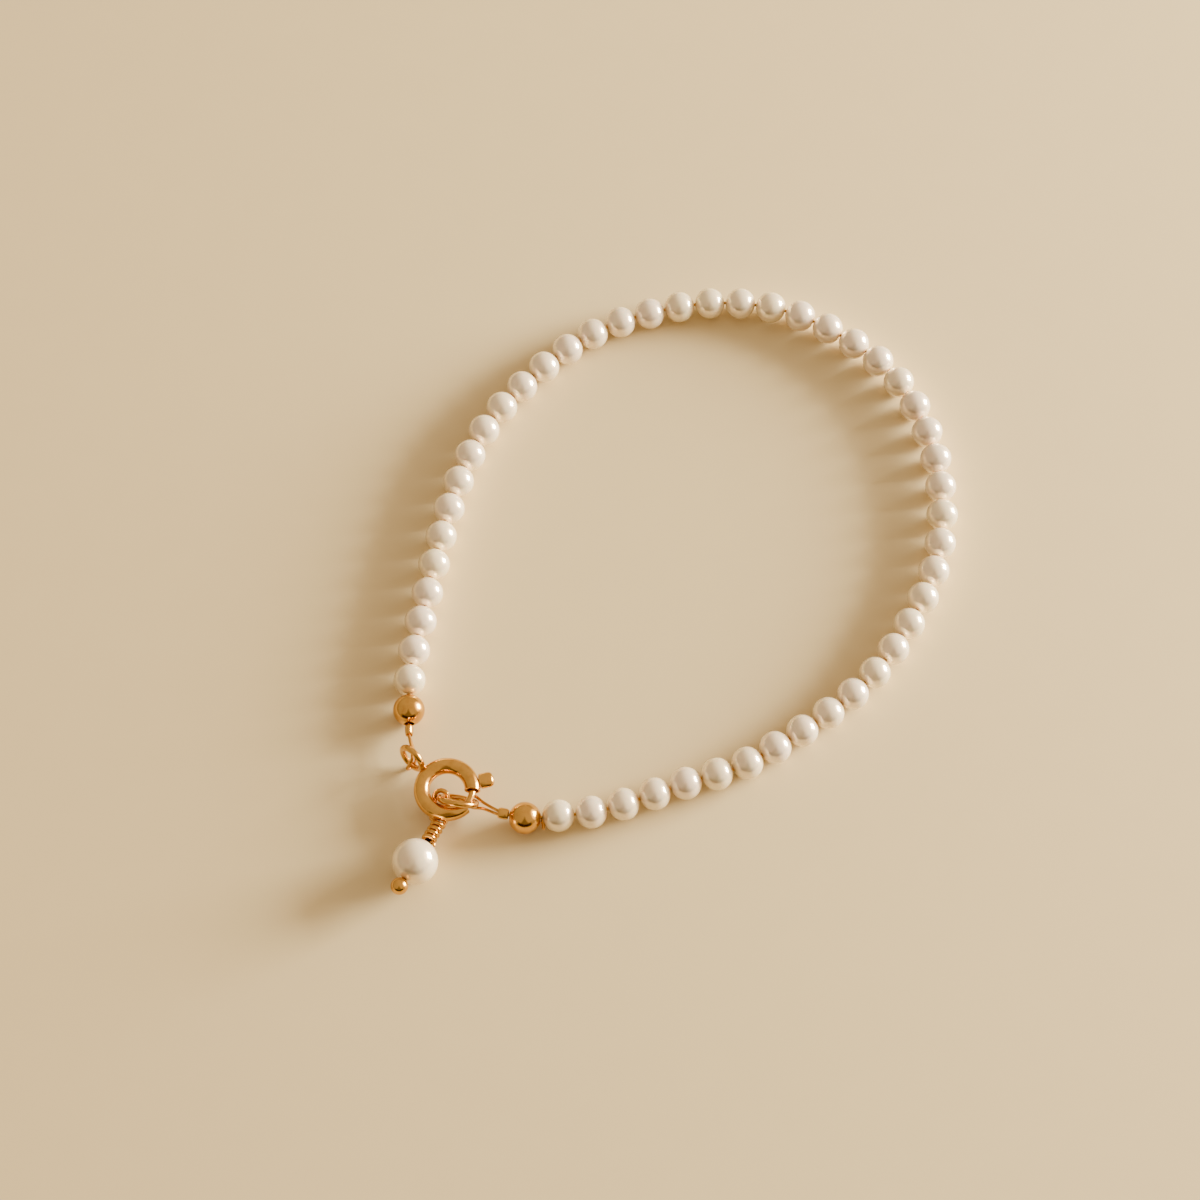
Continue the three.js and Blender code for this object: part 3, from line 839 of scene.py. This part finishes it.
def ring_angles(slot):
    """Angles round the ring, with one on each end of the slot."""
    marks = [GAP_TO, slot[0], slot[1], GAP_FROM + 360]
    counts = [6, 22, 90]
    angles = []
    for start, end, count in zip(marks, marks[1:], counts):
        angles.extend(start + (end - start) * i / count for i in range(count))
    return [*angles, marks[-1]]


def tube_turns(lift):
    """Angles round the tube, with one on each edge of the slot."""
    across = [-lift + 2 * lift * i / 6 for i in range(6)]
    return across + [lift + (360 - 2 * lift) * i / 34 for i in range(34)]


def middle_turn(turns, i):
    """Middle angle of one strip round the tube, between -180 and 180."""
    after = turns[(i + 1) % len(turns)] + (360 if i == len(turns) - 1 else 0)
    middle = (turns[i] + after) / 2
    return middle - 360 if middle > 180 else middle


def slot_walls(row, i, cells, sides, rows):
    """Walls between the outer and inner skin round the slot's open cells."""
    j, skin = (i + 1) % sides, rows * sides
    a, b, c, d = corners(row, i, sides, rows)
    walls = []
    for beside, (p, q) in (((row - 1, i), (a, b)), ((row, j), (b, c)),
                           ((row + 1, i), (c, d)), ((row, (i - 1) % sides), (d, a))):
        if beside not in cells:
            walls.append((q, p, skin + p, skin + q))
    return walls


def solder(eye, centre):
    """A low fillet of solder where the eye meets the tube."""
    towards = centre - eye.centre
    towards.z = 0.0
    towards.normalize()
    foot = eye.centre + towards * (eye.middle + eye.wire * 0.32)
    size = eye.wire * 0.62
    profile = [(-size * 0.55 * cos(a), size * sin(a))
               for a in (pi * (0.06 + 0.88 * i / 12) for i in range(13))]
    verts, faces = turned(profile, 24, towards, foot)
    return capped(verts, faces, 24)


class BRACELET_OT_clasp_tube(Operator):
    """Build the clasp's hollow tube with its slot, rolled ends and soldered eye"""

    bl_idname = "bracelet.clasp_tube"
    bl_label = "Clasp tube and eye"

    def execute(self, context):
        clasp = settings().clasp
        centre, middle, radius = clasp_centre(), clasp_middle(), clasp.tube / 2
        inner = radius - clasp.wall
        margin = degrees((clasp.trigger_neck / 2 + clasp.clearance) / middle)
        slot = (TRIGGER_ANGLE - margin, TRIGGER_ANGLE + TRIGGER_TRAVEL + margin)
        lift = degrees(asin((clasp.trigger_neck / 2 + clasp.clearance) / radius))
        angles = ring_angles(slot)
        turns = tube_turns(lift)
        rows, sides = len(angles), len(turns)
        verts = [tube_point(centre, middle, a, size, t) for size in (radius, inner)
                 for a in angles for t in turns]
        skin = rows * sides
        faces, open_cells = [], set()
        for row in range(rows - 1):
            for i in range(sides):
                inside = slot[0] - 1e-6 <= angles[row] and angles[row + 1] <= slot[1] + 1e-6
                if inside and abs(middle_turn(turns, i)) < lift:
                    open_cells.add((row, i))
                    continue
                a, b, c, d = corners(row, i, sides, rows)
                faces.append((a, d, c, b))
                faces.append(tuple(skin + k for k in (a, b, c, d)))
        for row, i in open_cells:
            faces.extend(slot_walls(row, i, open_cells, sides, rows))
        for row, flip in ((0, False), (rows - 1, True)):
            for i in range(sides):
                near, beside = corners(row, i, sides, rows)[:2]
                wall = (near, beside, skin + beside, skin + near)
                faces.append(tuple(reversed(wall)) if flip else wall)
        shape = Shape().add(verts, faces)
        eye = eye_ring()
        shape.add(*eye.mesh())
        shape.add(*solder(eye, centre))
        piece = new_piece("clasp_tube", shape.verts, shape.faces, polished_gold, "spring_ring")
        rounding = piece.modifiers.new("rolled_edges", "BEVEL")
        rounding.width = 0.05 * MM
        rounding.segments = 3
        rounding.limit_method = "ANGLE"
        rounding.angle_limit = radians(50)
        return {"FINISHED"}


class BRACELET_OT_clasp_bolt(Operator):
    """Build the curved bolt and its thumb tab"""

    bl_idname = "bracelet.clasp_bolt"
    bl_label = "Clasp bolt"

    def execute(self, context):
        clasp = settings().clasp
        centre, middle = clasp_centre(), clasp_middle()
        start, end = GAP_FROM - BOLT_SEAT, BOLT_TAIL
        line = [tube_point(centre, middle, start + (end - start) * i / 60, 0.0, 0.0)
                for i in range(61)]
        shape = Shape().add(*tube(line, clasp.bolt / 2, 24))
        out = heading(TRIGGER_ANGLE)
        side = UP.cross(out)
        outside = middle + clasp.tube / 2 + clasp.clearance
        neck = clasp.trigger_neck / 2
        stem = [(middle, neck * 0.95), (outside + 0.2, neck * 0.95)]
        verts, faces = turned(stem, 24, out, centre, side=side)
        shape.add(*capped(verts, faces, 24))
        reach, width = clasp.trigger_reach, clasp.trigger_width / 2
        profile = [(outside + reach * far, width * wide) for far, wide in TAB_OUTLINE]
        squash = clasp.trigger_depth / clasp.trigger_width
        verts, faces = turned(profile, TAB_SIDES, out, centre, squash, side)
        # The inner end follows the tube's roundness, so that it sits close to it
        tube_radius = clasp.tube / 2
        for index in range(TAB_INNER_ROWS * TAB_SIDES):
            high = verts[index].z - centre.z
            verts[index] -= out * (tube_radius - sqrt(tube_radius ** 2 - high ** 2))
        shape.add(*capped(verts, faces, TAB_SIDES))
        new_piece("clasp_bolt_and_tab", shape.verts, shape.faces, polished_gold, "clasp_bolt",
                  body="bolt")
        return {"FINISHED"}


# Charm

class CharmPlace:
    """Where the charm hangs: the neck of its wire, its axis and the middle of its pearl."""

    def __init__(self):
        clasp, charm, wire = settings().clasp, settings().charm, settings().wire
        self.radius = settings().pearls.charm / 2
        self.coil = charm.wire * COIL_HUG
        coil_length = charm.turns * charm.pitch + charm.wire / 2 + 2 * wire.bead_clearance
        out = clasp.ring / 2 + charm.neck_gap + charm.wire / 2
        drop = clasp.height - charm.neck_height
        self.neck = clasp_centre() + heading(CHARM_ANGLE) * out - UP * drop
        self.to_pearl = coil_length + self.radius
        rise = asin((self.radius - charm.neck_height) / self.to_pearl)
        self.axis = heading(CHARM_HEADING) * cos(rise) + UP * sin(rise)
        self.centre = self.neck + self.axis * self.to_pearl


class BRACELET_OT_charm_pearl(Operator):
    """Build the larger pearl of the charm"""

    bl_idname = "bracelet.charm_pearl"
    bl_label = "Charm pearl"

    def execute(self, context):
        sizes, charm = settings().pearls, CharmPlace()
        verts, faces = pearl_shape(44, 64, charm.radius, charm.radius, sizes.hole / 2, charm.axis,
                                   charm.centre, charm.axis.orthogonal().normalized(), sizes.seed,
                                   sizes.unevenness * 0.5)
        new_piece("charm_pearl_nacre", verts, faces, pearl_nacre, "charm_pearl",
                  tones=[CHARM_TONE] * len(verts))
        return {"FINISHED"}


def pin_shaft(sizes, charm, radius):
    """Straight pin with the ball head below the pearl."""
    head = sizes.head / 2
    meets = asin(radius / head)
    gap = settings().wire.bead_clearance / 2
    middle = charm.to_pearl + charm.radius + gap + head * cos(meets)
    steps = 26
    profile = [(0.0, radius * 0.5), (0.02, radius)]
    for i in range(steps):
        angle = meets + (pi - meets) * i / steps
        profile.append((middle - head * cos(angle), head * sin(angle)))
    profile.append((middle + head, head * 0.03))
    return capped(*turned(profile, HEAD_SIDES, charm.axis, charm.neck), HEAD_SIDES)


def pin_coil(sizes, charm):
    """Middle of the wrapped wire, from the neck to the pearl."""
    side = UP.cross(charm.axis).normalized()
    over = charm.axis.cross(side)
    steps = 24
    line = []
    last = sizes.turns * steps
    # The last turn lies against the pearl
    pitch = sizes.pitch + 2 * settings().wire.bead_clearance / sizes.turns
    for i in range(last + 1):
        angle = i / steps * 2 * pi
        # The cut end stands off by a third of the wire over the last eighth of a turn
        lift = max(0.0, 1.0 - (last - i) / (steps / 8)) * sizes.wire / 3
        size = charm.coil + lift
        line.append(charm.neck + charm.axis * (i / steps * pitch)
                    + side * (size * cos(angle)) + over * (size * sin(angle)))
    return line


def pin_loop(sizes, charm, radius):
    """Middle of the loop: under the clasp's tube, round the closed ring and back."""
    clasp, held = settings().clasp, held_ring()
    gap = settings().wire.leg_gap
    hook = held.at(PIN_HOOK_ANGLE)
    clear = held.wire / 2 + radius + gap
    across, away = heading(CHARM_ANGLE + 90), heading(CHARM_ANGLE)
    tube_radius = clasp.tube / 2
    below = tube_radius + radius + gap * 2
    under = clasp_centre() + away * clasp_middle() - UP * below
    way = [under + away * (tube_radius * out) + across * (clear * aside)
           for out, aside in UNDER_TUBE]
    points = [
        charm.neck + charm.axis * sizes.wire,
        charm.neck.copy(),
        *way[:2],
        *half_turn(hook, clear, -held.long, -held.normal),
        *way[2:],
        charm.neck + across * charm.coil + charm.axis * (sizes.wire / 4),
        charm.neck + across * (charm.coil / 2) + charm.axis * sizes.wire,
    ]
    return smooth_line(points, 10)


class BRACELET_OT_charm_pin(Operator):
    """Build the ball-headed pin with its wrapped wire and its loop"""

    bl_idname = "bracelet.charm_pin"
    bl_label = "Charm pin"

    def execute(self, context):
        sizes, place_of = settings().charm, CharmPlace()
        radius = sizes.wire / 2
        shape = Shape()
        shape.add(*pin_shaft(sizes, place_of, radius))
        shape.add(*tube(pin_coil(sizes, place_of), radius, 16))
        shape.add(*tube(pin_loop(sizes, place_of, radius), radius, 16))
        new_piece("charm_pin_wire", shape.verts, shape.faces, polished_gold, "charm_pin")
        return {"FINISHED"}


# Stage

def add_camera(stage, middle):
    """Camera that looks at the middle of the layout from the near side."""
    data = bpy.data.cameras.new("camera")
    data.lens = stage.lens
    data.clip_start = 0.01
    camera = in_scene("camera", data)
    angle = radians(stage.elevation)
    camera.location = middle + Vector((0.0, -cos(angle), sin(angle))) * stage.distance
    camera.rotation_euler = (pi / 2 - angle, 0.0, 0.0)
    bpy.context.scene.camera = camera


def add_floor(stage, middle):
    """Round floor, flat under the bracelet."""
    rings, sides = (0.0005, 0.3, 1.0), 96
    verts = [middle + heading(360 * i / sides) * (stage.floor_radius * size)
             for size in rings for i in range(sides)]
    faces = [*grid_faces(len(rings), sides), tuple(range(sides - 1, -1, -1))]
    faces = [tuple(reversed(face)) for face in faces]
    mesh = bpy.data.meshes.new("floor")
    mesh.from_pydata([tuple(v) for v in verts], [], faces)
    mesh.materials.append(made_once(matt_card))
    in_scene("floor", mesh)


def add_window(stage, middle):
    """Low soft light from the right and slightly behind."""
    data = bpy.data.lights.new("window", "AREA")
    data.shape = "RECTANGLE"
    data.size, data.size_y = stage.key_width, stage.key_height
    data.energy = stage.key_power
    data.color = linear(settings().colours.window)[:3]
    light = in_scene("window", data)
    angle = radians(stage.key_elevation)
    towards = heading(stage.key_heading) * cos(angle) + UP * sin(angle)
    light.location = middle + towards * stage.key_distance
    light.rotation_euler = towards.to_track_quat("Z", "Y").to_euler()


def add_room(stage):
    """Soft light from above, with a glow round the window and a dark shade on the near side.

    The shade is wide near the horizon and narrow above it, and the polished metal and the
    nacre mirror it. The room is dimmer away from the window and towards the horizon.
    """
    colours = settings().colours
    world = bpy.data.worlds.new("room")
    bpy.context.scene.world = world
    world.use_nodes = True
    tree = world.node_tree
    tree.nodes.clear()
    direction = node(tree, "TexCoord")
    split = node(tree, "SeparateXYZ", [("Vector", direction.outputs["Generated"])])
    x, y, z = (split.outputs[axis] for axis in "XYZ")

    def maths(operation, first, second):
        """Result of one operation on two values, each an output or a constant."""
        made = node(tree, "Math", operation=operation)
        feed(tree, made.inputs[0], first)
        feed(tree, made.inputs[1], second)
        return made.outputs[0]

    def step(value, limits, results):
        """Smooth step of a value between two limits."""
        return spread(tree, value, limits, results, "SMOOTHSTEP")

    aside = maths("ABSOLUTE", x, 0.0)
    low_part = maths("MULTIPLY", step(aside, SHADE_SIDES, (1.0, 0.0)),
                     step(z, SHADE_LOW_TOP, (1.0, 0.0)))
    slope = maths("ADD", maths("MULTIPLY", aside, SHADE_SLOPE), z)
    high_part = step(slope, SHADE_HIGH_EDGE, (SHADE_HIGH_DEPTH, 0.0))
    shade = maths("MULTIPLY", maths("MAXIMUM", low_part, high_part),
                  step(y, SHADE_NEAR_SIDE, (1.0, 0.0)))
    parts = [maths("MULTIPLY", value, part) for value, part in zip((x, y, z), WINDOW_SIDE)]
    towards = maths("ADD", maths("ADD", parts[0], parts[1]), parts[2])
    glow = maths("ADD", step(towards, ROOM_FALL, (ROOM_FAR_LIGHT, 1.0)),
                 step(towards, GLOW_EDGE, (0.0, GLOW_STRENGTH)))
    dimmed = maths("MULTIPLY", glow, step(z, HORIZON_RISE, (HORIZON_LIGHT, 1.0)))
    shade_colour = (*(c * SHADE_LIGHT for c in linear(colours.shade)[:3]), 1.0)
    light = node(tree, "Background", [
        ("Color", blend(tree, shade, linear(colours.sky), shade_colour)),
        ("Strength", maths("MULTIPLY", dimmed, stage.sky_strength))])
    node(tree, "OutputWorld", [("Surface", light.outputs["Background"])])


class BRACELET_OT_stage(Operator):
    """Build the camera, the pale floor and the lights"""

    bl_idname = "bracelet.stage"
    bl_label = "Stage"

    def execute(self, context):
        stage = settings().stage
        middle = place(0.0, 0.0) * MM
        add_camera(stage, middle)
        add_floor(stage, middle)
        add_window(stage, middle)
        add_room(stage)
        return {"FINISHED"}


# Panel and run

GROUPS = (PearlSizes, WireSizes, ClaspSizes, CharmSizes, Colours, StageSettings, BraceletSettings)
OPERATORS = (
    BRACELET_OT_stage, BRACELET_OT_string_pearls, BRACELET_OT_beading_wire, BRACELET_OT_end_balls,
    BRACELET_OT_crimps, BRACELET_OT_wire_loops, BRACELET_OT_clasp_tube, BRACELET_OT_clasp_bolt,
    BRACELET_OT_closed_ring, BRACELET_OT_charm_pearl, BRACELET_OT_charm_pin,
)


class BRACELET_PT_panel(Panel):
    """Sidebar panel with the bracelet's sizes, colours and operators."""

    bl_idname = "BRACELET_PT_panel"
    bl_label = "Pearl bracelet"
    bl_space_type = "VIEW_3D"
    bl_region_type = "UI"
    bl_category = "Bracelet"

    def draw(self, context):
        chosen = context.scene.bracelet
        for operator in OPERATORS:
            self.layout.operator(operator.bl_idname)
        for group in ("pearls", "wire", "clasp", "charm", "colours", "stage"):
            box = self.layout.box()
            box.label(text=group.capitalize())
            values = getattr(chosen, group)
            for key in values.bl_rna.properties.keys():
                if key not in ("rna_type", "name"):
                    box.prop(values, key)


def register():
    for item in (*GROUPS, *OPERATORS, BRACELET_PT_panel):
        bpy.utils.register_class(item)
    bpy.types.Scene.bracelet = PointerProperty(type=BraceletSettings)


def unregister():
    del bpy.types.Scene.bracelet
    for item in reversed((*GROUPS, *OPERATORS, BRACELET_PT_panel)):
        bpy.utils.unregister_class(item)


def main():
    register()
    for operator in OPERATORS:
        group, name = operator.bl_idname.split(".")
        getattr(getattr(bpy.ops, group), name)()


if __name__ == "__main__":
    main()
